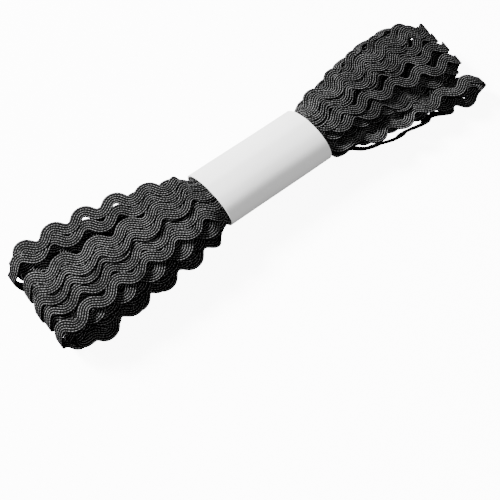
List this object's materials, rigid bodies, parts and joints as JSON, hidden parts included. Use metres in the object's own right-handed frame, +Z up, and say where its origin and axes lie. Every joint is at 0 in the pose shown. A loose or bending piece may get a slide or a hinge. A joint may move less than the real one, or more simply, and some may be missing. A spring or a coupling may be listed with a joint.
{
  "type": "hank of ric rac trim with a paper band",
  "caption": "Hank of black wavy ric rac trim, wound in long flat loops and held round its waist by a plain white paper band.",
  "frame": {"origin": "middle of the object's box, on the surface that it lies on", "axes": "+X along the hank, +Y across it to the back, +Z up"},
  "size_m": [0.1912, 0.0488, 0.02],
  "materials": {
    "black_trim": "matte",
    "white_paper": "satin"
  },
  "bodies": {
    "root": {"hank": "black_trim", "paper_band": "white_paper"}
  },
  "joints": []
}
